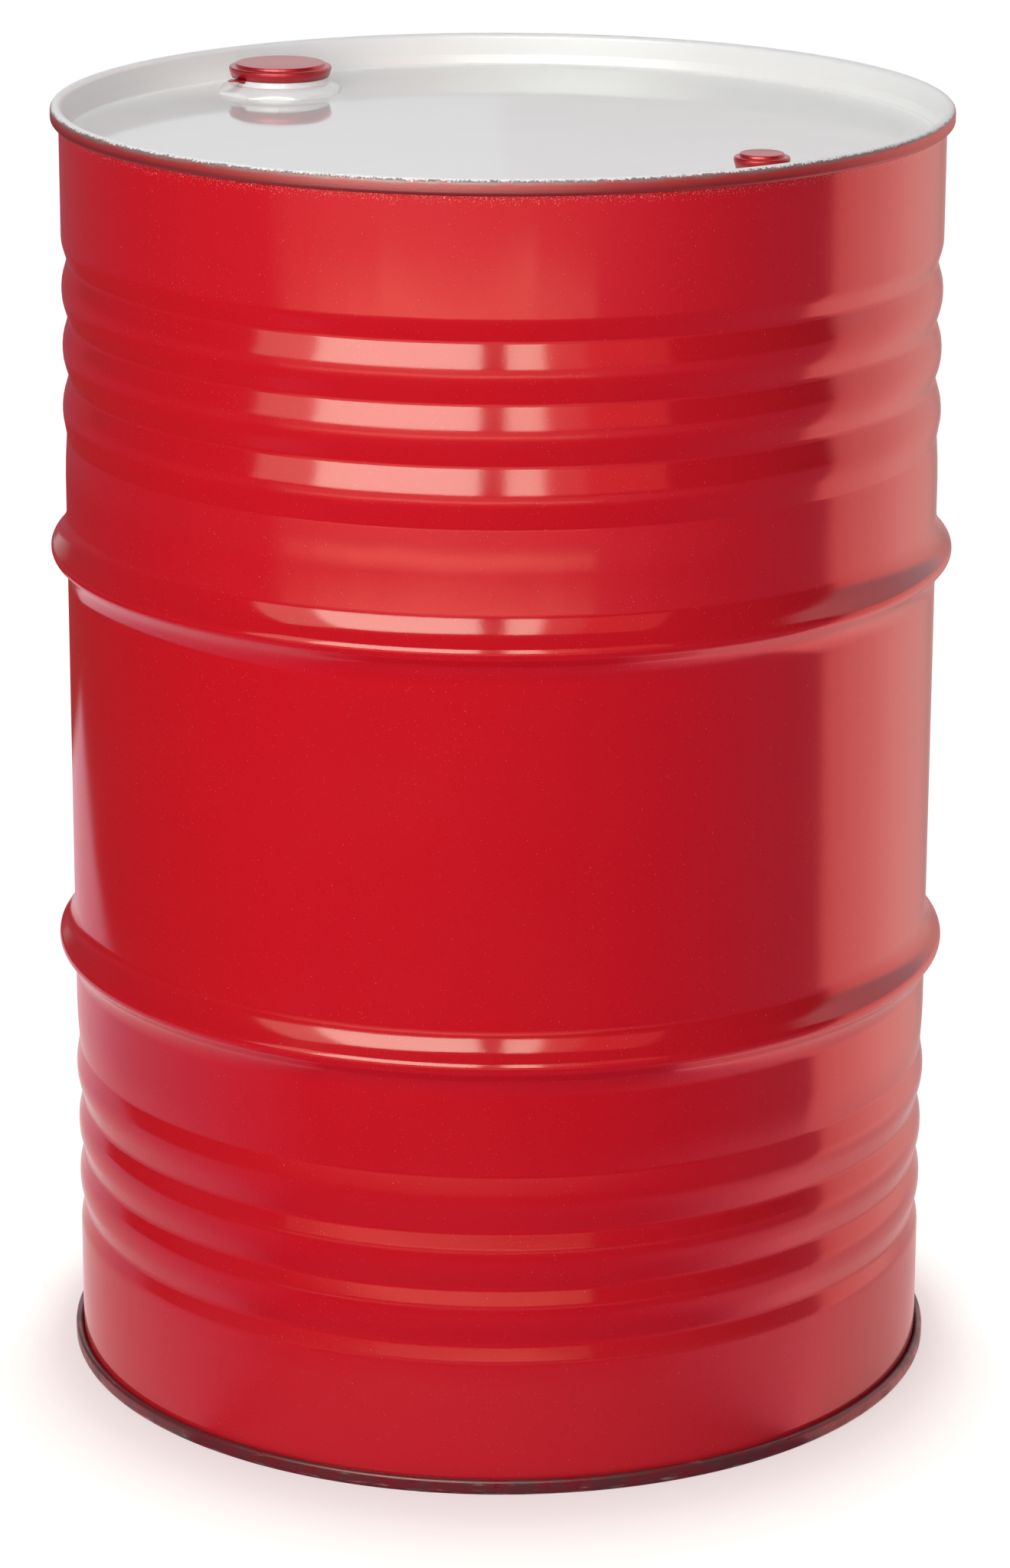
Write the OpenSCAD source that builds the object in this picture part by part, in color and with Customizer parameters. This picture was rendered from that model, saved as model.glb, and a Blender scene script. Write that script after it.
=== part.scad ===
// Tight-head steel drum of about 210 litres, with two screwed bungs under tear-off cap seals.
// It stands on its bottom chime. The origin is the middle of the foot, +Z is up, the small
// bung lies on +X and the large one on -X. Lengths are in millimetres.

/* [Shell] */
// Overall height over both chimes
height = 850; // [780:5:1000]
// Inside diameter of the plain wall
inside_d = 571.5; // [500:0.5:640]
// Thickness of the shell's sheet
shell_t = 1; // [0.8:0.05:1.2]

/* [Rolled chimes] */
// Thickness of both heads' sheet
head_t = 1; // [0.8:0.05:1.2]
// Height of the rolled seam
seam_h = 10.5; // [10:0.5:13]
// Film of sealing compound between the folds of the seam
seam_film = 0.05; // [0.03:0.01:0.1]
// Width of the flat land on the crest of the chime
seam_land = 0.8; // [0.4:0.1:0.8]
// Room left for compound at the end of each hook
hook_room = 2; // [1.5:0.1:2.5]

/* [Heads] */
// Depth of the top panel below the crest of the chime
top_recess = 22; // [19.5:0.5:30]
// Depth of the bottom panel inside the bottom chime
bottom_recess = 20; // [18:0.5:30]
// Depth of the straight wall inside each chime
chuck_h = 14.5; // [12:0.5:15]
// How far the wall leans in below its straight part
wall_lean = 1.2; // [0.6:0.1:3]
// Bend radius at the edge of the panel, at mid-sheet
panel_bend = 3; // [1.5:0.25:3]

/* [Rolling hoops] */
// Height of a hoop over the wall
hoop_h = 10.7; // [8:0.1:14]
// Distance of each hoop's crest from the nearer end of the drum
hoop_end = 291; // [285:1:320]
// Slope of the hoop's flanks from the wall, in degrees
hoop_slope = 41; // [35:1:50]
// Bend radius at the crest of a hoop, at mid-sheet
hoop_crest_r = 6; // [4:0.5:8]
// Bend radius at the root of a hoop, at mid-sheet
hoop_root_r = 23.5; // [12:0.5:24]

/* [Corrugations] */
// Grooves above the upper hoop, and as many below the lower one
groove_n = 4; // [2:1:4]
// Distance from groove to groove
groove_pitch = 38.3; // [30:0.1:40]
// Depth of a groove below the wall
groove_depth = 3.4; // [2:0.2:5]
// Height of the ridges between grooves over the wall
ridge_h = 0.5; // [0:0.1:1]
// Bend radius at the bottom of a groove, at mid-sheet
groove_r = 8; // [4:1:12]
// Straight stretch of sheet between the bottom of a groove and the round of a ridge
groove_flank = 8; // [2:0.5:9]
// Distance of the outermost groove from the nearer end of the drum
groove_end = 100.5; // [90:0.5:110]
// Depth of the innermost groove, next to the hoop
groove_last = 1.4; // [0.8:0.1:3]
// Slope at which the innermost groove runs out to the wall
groove_out = 5; // [4:0.5:10]

/* [Bung seats] */
// Height of the eight-sided boss at its edge, over the panel
boss_edge_h = 2.6; // [1.5:0.1:3.5]
// Height of the boss where it turns up into the collar
boss_crown_h = 6; // [5:0.1:7]
// Width of the boss's level crown round the collar
boss_crown_w = 3; // [2:0.25:5]
// Height of the flange's neck over the panel
neck_h = 13.2; // [12.6:0.1:14]
// Thickness of the sheet drawn up round the neck
collar_t = 0.9; // [0.6:0.1:1.1]
// Width and height of the neck's lip, which holds the collar down
lip_h = 0.8; // [0.5:0.1:1.2]
// Thickness of the flange's eight-sided base
base_t = 2.1; // [1.6:0.1:3]
// Play between the base and the walls of the boss
base_play = 0.3; // [0.1:0.1:0.6]
// Radial play between each thread's working surface and its pitch cylinder
thread_play = 0.04; // [0.02:0.01:0.05]
// Width of the rubber ring between the flange and the head
seat_ring_w = 3; // [2:0.25:4]

/* [Plugs] */
// Thickness of the rubber ring under the plug's rim
plug_ring_t = 1.4; // [1:0.1:2]
// Thickness of the plug's rim
plug_rim_t = 1.5; // [1:0.1:2]
// Thickness of the plug's wall and floor
plug_t = 1.5; // [1:0.1:2]
// Depth of the plug below the top of its rim
plug_h = 17; // [14:0.5:18]
// Play between the plug's stem and the rubber ring under its rim
ring_play = 0.3; // [0.2:0.05:0.5]
// How far the driving lugs stand in from the plug's wall, as a part of its inside radius
lug_reach = 0.3; // [0.2:0.05:0.4]
// Depth of the driving lugs below the top of the rim
lug_drop = 3; // [2:0.5:5]

/* [Cap seals] */
// Thickness of the seal's tinplate
seal_t = 0.3; // [0.2:0.05:0.4]
// Thickness of the liner inside the seal
liner_t = 0.5; // [0.3:0.1:0.8]
// Gap between the plug's rim and the liner
liner_gap = 0.3; // [0.2:0.05:0.6]
// Rise of the seal's disc over its shoulder
disc_rise = 2; // [1.2:0.1:2.4]
// Bend radius of the bead, at mid-sheet
bead_r = 1.2; // [0.8:0.1:1.6]
// Clearance between the foot of the skirt and the collar
skirt_gap = 0.3; // [0.2:0.05:0.6]
// Height of the foot of the skirt over the panel
skirt_foot = 10; // [9.5:0.25:11]
// Width of the pull tab and of the ear that it bends from
tab_w = 9; // [5:0.5:12]
// Length of the pull tab
tab_l = 8; // [6:0.5:12]
// Thickness of the pull tab and its ear
tab_t = 0.6; // [0.5:0.1:0.8]
// Clearance between the ear and the tab
tab_gap = 0.3; // [0.2:0.05:0.4]

/* [Large bung] */
// Distance of the bung's middle from the inside of the shell
large_in = 57.75; // [56:0.25:80]
// Pitch diameter of the thread
large_thread_d = 58.135; // [54:0.005:60]
// Wall of the flange's neck outside the pitch cylinder
large_neck_t = 2.5; // [1.8:0.1:2.6]
// Width of the boss from the collar to its flats
large_boss_w = 8.5; // [8:0.25:12]
// How far the seal's bead stands out from the collar
large_bead_out = 2.2; // [2:0.1:3]
// How far the seal's raised disc stands in from the collar
large_disc_in = 2.5; // [2:0.1:6]
// Direction in which the pull tab points, in degrees
large_tab_dir = -92; // [-180:1:180]

/* [Small bung] */
// Distance of the bung's middle from the inside of the shell
small_in = 45.75; // [40:0.25:80]
// Pitch diameter of the thread
small_thread_d = 25.279; // [22:0.005:26]
// Wall of the flange's neck outside the pitch cylinder
small_neck_t = 2; // [1.5:0.1:2.2]
// Width of the boss from the collar to its flats
small_boss_w = 7.5; // [7:0.25:10]
// How far the seal's bead stands out from the collar
small_bead_out = 1.9; // [1.8:0.1:3]
// How far the seal's raised disc stands in from the collar
small_disc_in = 2; // [1.8:0.1:4]
// Direction in which the pull tab points, in degrees
small_tab_dir = 130; // [-180:1:180]

/* [Hidden] */

// Fineness of whole turns, and the angle that one straight step of a bend takes
$fn = 144;
BEND_STEP = 10;
// A little extra length for cuts that run out of a solid
OVER = 1;

RED = "#c11a26";
WHITE = "#f1eeec";
ZINC = "#b9b9b4";
RUBBER = "#2b2b2b";
COMPOUND = "#8f8a80";
BOSS_SIDES = 8;
LUGS = 4;

// Middle of the shell's sheet, and the distance from one fold of the seam to the next
WALL_R = inside_d / 2 + shell_t / 2;
FOLD = (head_t + shell_t) / 2 + seam_film;

// Depths below the crest of a chime, all at mid-sheet: the head's crest, the shell's crest
// under it, the head's inner crest, and the feet of the head's and the shell's folds
HEAD_CREST = head_t / 2;
SHELL_CREST = HEAD_CREST + FOLD;
HOOK_CREST = SHELL_CREST + FOLD;
HEAD_FOOT = seam_h - head_t / 2;
SHELL_FOOT = HEAD_FOOT - FOLD;
HEAD_END = SHELL_FOOT - shell_t / 2 - hook_room;
SHELL_END = HOOK_CREST + head_t / 2 + hook_room;

// The two closures: [place on X, radius of the pitch cylinder, neck wall, width of the boss,
// bead outside the collar, disc inside the collar, direction of the tab]
LARGE = [large_in - inside_d / 2, large_thread_d / 2, large_neck_t, large_boss_w,
         large_bead_out, large_disc_in, large_tab_dir];
SMALL = [inside_d / 2 - small_in, small_thread_d / 2, small_neck_t, small_boss_w,
         small_bead_out, small_disc_in, small_tab_dir];

function place_x(bung) = bung[0];
function pitch_r(bung) = bung[1];
function neck_r(bung) = bung[1] + bung[2];
function collar_r(bung) = neck_r(bung) + collar_t;
function boss_r(bung) = collar_r(bung) + bung[3];
function bead_out_r(bung) = collar_r(bung) + bung[4];
function disc_r(bung) = collar_r(bung) - bung[5];
function tab_dir(bung) = bung[6];
// The rubber ring and the plug's rim reach as far as the neck
function rim_r(bung) = neck_r(bung);

// Heights over the panel: the flange's base, the parts above the neck's rim, and the seal's
// shoulder and disc at mid-sheet
BASE_TOP = base_t - head_t;
RING_TOP = neck_h + plug_ring_t;
PLUG_TOP = RING_TOP + plug_rim_t;
PLUG_FOOT = PLUG_TOP - plug_h;
LINER_FOOT = PLUG_TOP + liner_gap;
SHOULDER = LINER_FOOT + liner_t + seal_t / 2;
DISC = SHOULDER + disc_rise;

// A bent sheet is drawn by its corners at mid-sheet, [across, along, bend radius].
function flat(corner) = [corner[0], corner[1]];
function unit(v) = v / norm(v);
function left(v) = [-v[1], v[0]];
function turn(u, v) = atan2(u[0] * v[1] - u[1] * v[0], u * v);

// One face of the sheet, off to the left of its middle line
function face(corners, off) = [
    for (i = [0 : len(corners) - 1])
        let (first = i == 0,
             last = i == len(corners) - 1,
             p = flat(corners[i]),
             before = first ? flat(corners[1]) - p : p - flat(corners[i - 1]),
             after = last ? before : flat(corners[i + 1]) - p,
             u = unit(before),
             bend = first || last ? 0 : turn(u, unit(after)))
            each abs(bend) < 0.01 ? [p + off * left(u)] : bend_face(p, u, bend, corners[i][2], off)
];

// The same face round one bend
function bend_face(p, u, bend, radius, off) =
    let (side = sign(bend),
         middle = p - u * radius * tan(abs(bend) / 2) + left(u) * radius * side,
         reach = radius - side * off,
         start = atan2(-left(u)[1] * side, -left(u)[0] * side),
         steps = max(2, ceil(abs(bend) / BEND_STEP)))
        [for (s = [0 : steps])
            let (a = start + bend * s / steps)
                middle + reach * [cos(a), sin(a)]];

function backwards(list) = [for (i = [len(list) - 1 : -1 : 0]) list[i]];
function from_top(corners) = [for (c = corners) [c[0], height - c[1], c[2]]];

// A sheet of one thickness, bent along its corners and turned round the axis
module turned_sheet(corners, thickness) {
    rotate_extrude()
        polygon(concat(face(corners, thickness / 2), backwards(face(corners, -thickness / 2))));
}

// A plain ring between two radii and two heights
module ring(inner_r, outer_r, low, high) {
    translate([0, 0, low])
        difference() {
            cylinder(r = outer_r, h = high - low);
            translate([0, 0, -OVER])
                cylinder(r = inner_r, h = high - low + 2 * OVER);
        }
}

// ---- Shell: one sheet rolled round and welded, with hoops and grooves rolled in ----

// The shell's hook in the seam, from the wall outwards, by depth below the chime's crest
HOOK = [
    [WALL_R, SHELL_CREST, 2 * FOLD - seam_land / 2],
    [WALL_R + 4 * FOLD, SHELL_CREST, 2 * FOLD - seam_land / 2],
    [WALL_R + 4 * FOLD, SHELL_FOOT, FOLD],
    [WALL_R + 2 * FOLD, SHELL_FOOT, FOLD],
    [WALL_R + 2 * FOLD, SHELL_END, 0]
];

// Grooves are arcs that meet in straight flanks: a tight one at the bottom of each groove, a wide
// one over each ridge, and one out to the wall at the outer end of the run. The innermost groove is
// shallow, and runs out gently towards the hoop.
GROOVE_SLOPE = 2 * atan((groove_depth + ridge_h) / (groove_pitch / 2 + groove_flank));
RIDGE_R = (groove_pitch / 2 - groove_flank * cos(GROOVE_SLOPE)) / sin(GROOVE_SLOPE) - groove_r;
LEAD_R = (groove_depth - groove_flank * sin(GROOVE_SLOPE)) / (1 - cos(GROOVE_SLOPE)) - groove_r;
// A bend of this slope on both sides cuts its sharp corner short by this share of its radius
GROOVE_CUT = 1 / cos(GROOVE_SLOPE) - 1;
GROOVE_CORNER = groove_depth + groove_r * GROOVE_CUT;
GROOVE_LEAD = GROOVE_CORNER / tan(GROOVE_SLOPE);
GROOVES_H = (groove_n - 1) * groove_pitch;
GROOVE_OUT_H = groove_last / tan(groove_out);
OUT_R = 0.8 * GROOVE_OUT_H / tan(groove_out / 2);

// A run of grooves, given by the height of its outermost one and the way in, 1 up or -1 down
function grooves(outermost, way) = [
    [WALL_R, outermost - way * GROOVE_LEAD, LEAD_R],
    for (i = [0 : groove_n - 2]) each [
        [WALL_R - GROOVE_CORNER, outermost + way * i * groove_pitch, groove_r],
        [WALL_R + ridge_h + RIDGE_R * GROOVE_CUT, outermost + way * (i + 0.5) * groove_pitch, RIDGE_R]
    ],
    [WALL_R - groove_last, outermost + way * GROOVES_H, groove_r],
    [WALL_R, outermost + way * (GROOVES_H + GROOVE_OUT_H), OUT_R]
];

// A hoop, given by the height of its crest. The bend at the crest takes its sharp corner off.
HOOP_PEAK = hoop_h + hoop_crest_r * (1 / cos(hoop_slope) - 1);
HOOP_HALF = HOOP_PEAK / tan(hoop_slope);
function hoop(z) = [
    [WALL_R, z - HOOP_HALF, hoop_root_r],
    [WALL_R + HOOP_PEAK, z, hoop_crest_r],
    [WALL_R, z + HOOP_HALF, hoop_root_r]
];

module shell() {
    color(RED)
        turned_sheet(concat(backwards(HOOK),
                            grooves(groove_end, 1),
                            hoop(hoop_end),
                            hoop(height - hoop_end),
                            backwards(grooves(height - groove_end, -1)),
                            from_top(HOOK)),
                     shell_t);
}

// ---- Heads: pressed panels, each with a curl that is rolled up with the shell's hook ----

function head_profile(recess) = [
    [0, recess + head_t / 2, 0],
    [WALL_R - FOLD - wall_lean, recess + head_t / 2, panel_bend],
    [WALL_R - FOLD, chuck_h, panel_bend],
    [WALL_R - FOLD, HEAD_CREST, 3 * FOLD - seam_land / 2],
    [WALL_R + 5 * FOLD, HEAD_CREST, 3 * FOLD - seam_land / 2],
    [WALL_R + 5 * FOLD, HEAD_FOOT, 2 * FOLD],
    [WALL_R + FOLD, HEAD_FOOT, 2 * FOLD],
    [WALL_R + FOLD, HOOK_CREST, FOLD - seam_land / 2],
    [WALL_R + 3 * FOLD, HOOK_CREST, FOLD - seam_land / 2],
    [WALL_R + 3 * FOLD, HEAD_END, 0]
];

// Things at a bung are drawn over the top panel, at the bung's own middle
module at_bung(bung) {
    translate([place_x(bung), 0, height - top_recess])
        children();
}

// An upright eight-sided bar with two flats square to X, each flat_r from its middle
module eight_sided(flat_r, low, high) {
    translate([0, 0, low])
        rotate(180 / BOSS_SIDES)
            cylinder(r = flat_r / cos(180 / BOSS_SIDES), h = high - low, $fn = BOSS_SIDES);
}

// The boss with its crown and collar. The hollow is the same shape, one sheet lower.
module boss_form(bung, edge_r, shift, foot, stem_r, stem_top) {
    crown_r = collar_r(bung) + boss_crown_w;
    slope = (boss_crown_h - boss_edge_h) / (boss_r(bung) - crown_r);
    corner_r = edge_r / cos(180 / BOSS_SIDES) + OVER;
    intersection() {
        eight_sided(edge_r, foot, boss_crown_h + shift);
        rotate_extrude()
            polygon([[0, foot], [corner_r, foot],
                     [corner_r, boss_edge_h + shift - slope * (corner_r - boss_r(bung))],
                     [crown_r, boss_crown_h + shift], [0, boss_crown_h + shift]]);
    }
    translate([0, 0, foot])
        cylinder(r = stem_r, h = stem_top - foot);
}

module boss(bung) {
    boss_form(bung, boss_r(bung), 0, -head_t, collar_r(bung), neck_h - lip_h);
}

module boss_hollow(bung) {
    boss_form(bung, boss_r(bung) - head_t, -head_t, -head_t - OVER,
              neck_r(bung), neck_h + OVER);
}

module top_head() {
    color(WHITE)
        difference() {
            union() {
                turned_sheet(from_top(head_profile(top_recess)), head_t);
                at_bung(LARGE) boss(LARGE);
                at_bung(SMALL) boss(SMALL);
            }
            at_bung(LARGE) boss_hollow(LARGE);
            at_bung(SMALL) boss_hollow(SMALL);
        }
}

module bottom_head() {
    color(RED)
        turned_sheet(head_profile(bottom_recess), head_t);
}

// ---- Sealing compound: a bead at the end of each hook, shut inside the seam ----

function compound_beads() = [
    [[WALL_R + 3 * FOLD, SHELL_FOOT - FOLD], [WALL_R + 3 * FOLD, HEAD_END], 2 * FOLD - shell_t],
    [[WALL_R + 2 * FOLD, HOOK_CREST + FOLD], [WALL_R + 2 * FOLD, SHELL_END], 2 * FOLD - head_t]
];

module compound(top) {
    color(COMPOUND)
        for (bead = compound_beads()) {
            ends = [[bead[0][0], bead[0][1], 0], [bead[1][0], bead[1][1], 0]];
            turned_sheet(top ? from_top(ends) : ends, bead[2] - 2 * seam_film);
        }
}

// ---- Flanges: steel rings locked in the bosses, with the head's collar round their necks ----

module flange(bung) {
    bore_r = pitch_r(bung) + thread_play;
    color(ZINC)
        at_bung(bung)
            difference() {
                union() {
                    eight_sided(boss_r(bung) - head_t - base_play, -head_t, BASE_TOP);
                    translate([0, 0, -head_t])
                        cylinder(r = neck_r(bung), h = neck_h + head_t);
                    translate([0, 0, neck_h - lip_h])
                        cylinder(r = collar_r(bung), h = lip_h);
                }
                translate([0, 0, -head_t - OVER])
                    cylinder(r = bore_r, h = neck_h + head_t + 2 * OVER);
            }
}

// Rubber ring on the flange's base, squeezed against the underside of the boss
module seat_ring(bung) {
    color(RUBBER)
        at_bung(bung)
            ring(neck_r(bung), neck_r(bung) + seat_ring_w,
                 BASE_TOP, boss_crown_h - head_t);
}

// ---- Plugs: pressed cups that screw into the flanges, each with a rubber ring ----

module plug(bung) {
    stem_r = pitch_r(bung) - thread_play;
    cup_r = stem_r - plug_t;
    color(ZINC)
        at_bung(bung) {
            difference() {
                union() {
                    translate([0, 0, PLUG_FOOT])
                        cylinder(r = stem_r, h = plug_h);
                    translate([0, 0, RING_TOP])
                        cylinder(r = rim_r(bung), h = plug_rim_t);
                }
                translate([0, 0, PLUG_FOOT + plug_t])
                    cylinder(r = cup_r, h = plug_h);
            }
            intersection() {
                ring(cup_r * (1 - lug_reach), cup_r + plug_t / 2,
                     PLUG_FOOT + plug_t / 2, PLUG_TOP - lug_drop);
                for (i = [0 : LUGS - 1])
                    rotate(i * 360 / LUGS)
                        translate([0, -cup_r * lug_reach / 2, PLUG_FOOT])
                            cube([stem_r, cup_r * lug_reach, plug_h]);
            }
        }
}

module plug_ring(bung) {
    color(RUBBER)
        at_bung(bung)
            ring(pitch_r(bung) - thread_play + ring_play, rim_r(bung), neck_h, RING_TOP);
}

// ---- Cap seals: thin caps over the bungs, with a tab to pull them off by and a liner ring ----

function seal_profile(bung) =
    let (foot_r = collar_r(bung) + skirt_gap + seal_t / 2,
         shoulder_r = bead_out_r(bung) - seal_t / 2)
        [[0, DISC, 0],
         [disc_r(bung), DISC, bead_r / 2],
         [disc_r(bung) + seal_t, SHOULDER, bead_r / 2],
         [shoulder_r, SHOULDER, bead_r],
         [shoulder_r, SHOULDER - 2 * bead_r, bead_r],
         [foot_r, skirt_foot, 0]];

// The ear and the tab lie at the foot of the skirt. The tab bends up about a line over the gap
// between them, at the height of their upper faces.
function tab_r(bung) = bead_out_r(bung) + tab_gap + tab_t / 2;

module at_tab(bung) {
    at_bung(bung)
        rotate(tab_dir(bung))
            children();
}

module cap_seal(bung) {
    foot_r = collar_r(bung) + skirt_gap;
    color(RED) {
        at_bung(bung)
            turned_sheet(seal_profile(bung), seal_t);
        at_tab(bung)
            intersection() {
                translate([0, -tab_w / 2, skirt_foot])
                    cube([tab_r(bung) - tab_gap / 2, tab_w, tab_t]);
                ring(foot_r + seal_t / 4, bead_out_r(bung) + tab_w, skirt_foot, skirt_foot + tab_t);
            }
    }
}

module seal_liner(bung) {
    color(WHITE)
        at_bung(bung)
            ring(disc_r(bung) + 2 * seal_t, bead_out_r(bung) - seal_t - bead_r,
                 LINER_FOOT, LINER_FOOT + liner_t);
}

module seal_tab(bung) {
    root_x = tab_r(bung) + tab_gap / 2;
    nose_x = tab_r(bung) + tab_l - tab_w / 2;
    color(RED)
        at_tab(bung)
            translate([0, 0, skirt_foot]) {
                translate([root_x, -tab_w / 2, 0])
                    cube([nose_x - root_x, tab_w, tab_t]);
                intersection() {
                    translate([nose_x, 0, 0])
                        cylinder(d = tab_w, h = tab_t);
                    translate([root_x, -tab_w / 2, 0])
                        cube([tab_l, tab_w, tab_t]);
                }
            }
}

module large_flange() flange(LARGE);
module large_seat_ring() seat_ring(LARGE);
module large_plug() plug(LARGE);
module large_plug_ring() plug_ring(LARGE);
module large_cap_seal() cap_seal(LARGE);
module large_seal_liner() seal_liner(LARGE);
module large_seal_tab() seal_tab(LARGE);
module small_flange() flange(SMALL);
module small_seat_ring() seat_ring(SMALL);
module small_plug() plug(SMALL);
module small_plug_ring() plug_ring(SMALL);
module small_cap_seal() cap_seal(SMALL);
module small_seal_liner() seal_liner(SMALL);
module small_seal_tab() seal_tab(SMALL);
module top_seam_compound() compound(true);
module bottom_seam_compound() compound(false);

shell();
top_head();
bottom_head();
top_seam_compound();
bottom_seam_compound();
large_flange();
large_seat_ring();
large_plug();
large_plug_ring();
large_cap_seal();
large_seal_liner();
large_seal_tab();
small_flange();
small_seat_ring();
small_plug();
small_plug_ring();
small_cap_seal();
small_seal_liner();
small_seal_tab();
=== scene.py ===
from math import atan, atan2, ceil, cos, floor, pi, radians, sin, tan

import bmesh
import bpy
from mathutils import Matrix, Vector


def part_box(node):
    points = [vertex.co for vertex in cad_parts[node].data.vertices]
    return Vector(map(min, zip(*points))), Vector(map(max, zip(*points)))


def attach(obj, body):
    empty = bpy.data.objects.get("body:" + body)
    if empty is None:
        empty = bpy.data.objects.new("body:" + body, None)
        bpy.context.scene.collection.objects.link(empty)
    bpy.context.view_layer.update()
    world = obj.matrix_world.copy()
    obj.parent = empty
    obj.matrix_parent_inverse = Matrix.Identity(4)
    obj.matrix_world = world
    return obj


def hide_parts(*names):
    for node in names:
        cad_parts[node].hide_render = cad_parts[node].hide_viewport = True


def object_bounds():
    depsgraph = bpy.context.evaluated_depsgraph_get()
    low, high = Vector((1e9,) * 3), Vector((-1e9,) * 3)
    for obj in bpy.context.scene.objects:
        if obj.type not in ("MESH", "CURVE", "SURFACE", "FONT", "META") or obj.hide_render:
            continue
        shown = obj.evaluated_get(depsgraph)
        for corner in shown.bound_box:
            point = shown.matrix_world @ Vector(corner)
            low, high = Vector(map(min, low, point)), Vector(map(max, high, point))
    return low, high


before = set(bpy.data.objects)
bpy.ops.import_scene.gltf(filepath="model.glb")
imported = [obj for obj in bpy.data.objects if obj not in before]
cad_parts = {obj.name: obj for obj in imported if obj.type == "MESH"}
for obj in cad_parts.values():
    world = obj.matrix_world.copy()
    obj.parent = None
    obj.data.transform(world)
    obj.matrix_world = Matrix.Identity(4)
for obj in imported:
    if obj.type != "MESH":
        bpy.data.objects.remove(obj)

cad_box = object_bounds()

# ---- Shell ----
# The drum's wall: one sheet of mild steel rolled round and welded up its side, with two rolling
# hoops and two sets of four grooves rolled in. Both ends are bent into the rolled seams.

MM = 0.001
HEIGHT = cad_box[1].z
SHEET = 1 * MM
WALL_R = 286.25 * MM
# Distance from one fold of a rolled seam to the next, at mid-sheet
FOLD = 1.05 * MM
# Flat land on the crest of a chime
LAND = 0.8 * MM
# Depths below a chime's crest, at mid-sheet
HEAD_CREST = 0.5 * MM
SHELL_CREST = HEAD_CREST + FOLD
HOOK_CREST = SHELL_CREST + FOLD
HEAD_FOOT = 10 * MM
SHELL_FOOT = HEAD_FOOT - FOLD
HEAD_END = 6.45 * MM
SHELL_END = 5.1 * MM

# Height of a hoop over the wall, at mid-sheet; its crest is the widest part of the drum
HOOP_H = -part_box("shell")[0].x - SHEET / 2 - WALL_R
# Distance of a hoop's crest from the nearer end of the drum
HOOP_END = 291 * MM
HOOP_SLOPE = radians(41)
HOOP_CREST_R = 6 * MM
HOOP_ROOT_R = 23.5 * MM

# Grooves: a tight round at the bottom, a straight flank, and a wide round over the ridges. The
# innermost groove of each run is shallow, and runs out gently towards the hoop. Flank and rounds
# meet smoothly at the slope that they make together.
GROOVES = 4
GROOVE_PITCH = 38.3 * MM
GROOVE_DEPTH = 3.4 * MM
RIDGE_H = 0.5 * MM
GROOVE_R = 8 * MM
GROOVE_FLANK = 8 * MM
GROOVE_END = 100.5 * MM
GROOVE_LAST = 1.4 * MM
GROOVE_OUT = radians(5)
# Part of the innermost groove's run-out that its last bend takes up
RUN_OUT_BEND = 0.8
GROOVE_SLOPE = 2 * atan((GROOVE_DEPTH + RIDGE_H) / (GROOVE_PITCH / 2 + GROOVE_FLANK))
GROOVE_CUT = 1 / cos(GROOVE_SLOPE) - 1
RIDGE_R = (GROOVE_PITCH / 2 - GROOVE_FLANK * cos(GROOVE_SLOPE)) / sin(GROOVE_SLOPE) - GROOVE_R
LEAD_R = (GROOVE_DEPTH - GROOVE_FLANK * sin(GROOVE_SLOPE)) / (1 - cos(GROOVE_SLOPE)) - GROOVE_R

# Steps round a whole turn of the big sheets, and the angle that one step of a bend takes
TURN_STEPS = 192
BEND_STEP = radians(7)


def bent_wire(bm, corners, step=BEND_STEP):
    """A wire in the XZ plane through (radius, height, bend radius) corners, with its bends rounded"""
    points = [bm.verts.new((r, 0, z)) for r, z, _ in corners]
    for a, b in zip(points, points[1:]):
        bm.edges.new((a, b))
    places = [p.co.copy() for p in points]
    for i in range(1, len(corners) - 1):
        bend = (places[i] - places[i - 1]).angle(places[i + 1] - places[i])
        if corners[i][2] > 0 and bend > 0.001:
            bmesh.ops.bevel(bm, geom=[points[i]], affect="VERTICES", offset=corners[i][2] * tan(bend / 2),
                            segments=max(2, ceil(bend / step)), profile=0.5, material=-1,
                            clamp_overlap=False)


def turn_round(bm, steps):
    """Spins everything in the mesh once round the Z axis, and closes its seam and poles"""
    bmesh.ops.rotate(bm, cent=(0, 0, 0), matrix=Matrix.Rotation(pi / steps, 3, "Z"), verts=bm.verts)
    bmesh.ops.spin(bm, geom=bm.verts[:] + bm.edges[:], cent=(0, 0, 0), axis=(0, 0, 1), angle=2 * pi,
                   steps=steps, use_merge=True)
    bmesh.ops.remove_doubles(bm, verts=bm.verts, dist=0.001 * MM)
    bmesh.ops.recalc_face_normals(bm, faces=bm.faces)


def smooth_piece(name, bm, finish, sheet=0, sharp=radians(50)):
    """Makes a shown object of a mesh, with a finish, and with a sheet's thickness if it is one"""
    mesh = bpy.data.meshes.new(name)
    bm.to_mesh(mesh)
    bm.free()
    mesh.materials.append(finish)
    mesh.shade_smooth()
    mesh.set_sharp_from_angle(angle=sharp)
    piece = bpy.data.objects.new(name, mesh)
    bpy.context.scene.collection.objects.link(piece)
    if sheet:
        wall = piece.modifiers.new("sheet", "SOLIDIFY")
        wall.thickness = sheet
        wall.offset = 0
        wall.use_even_offset = True
    return piece


def stands_for(piece, node, body):
    """Shows a piece in place of a CAD node, on the node's body"""
    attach(piece, body)
    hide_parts(node)


def linear(colour):
    """An sRGB hex colour as linear red, green, blue and alpha"""
    shares = [int(colour[i:i + 2], 16) / 255 for i in (1, 3, 5)]
    return tuple(s / 12.92 if s <= 0.04045 else ((s + 0.055) / 1.055) ** 2.4 for s in shares) + (1,)


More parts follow.
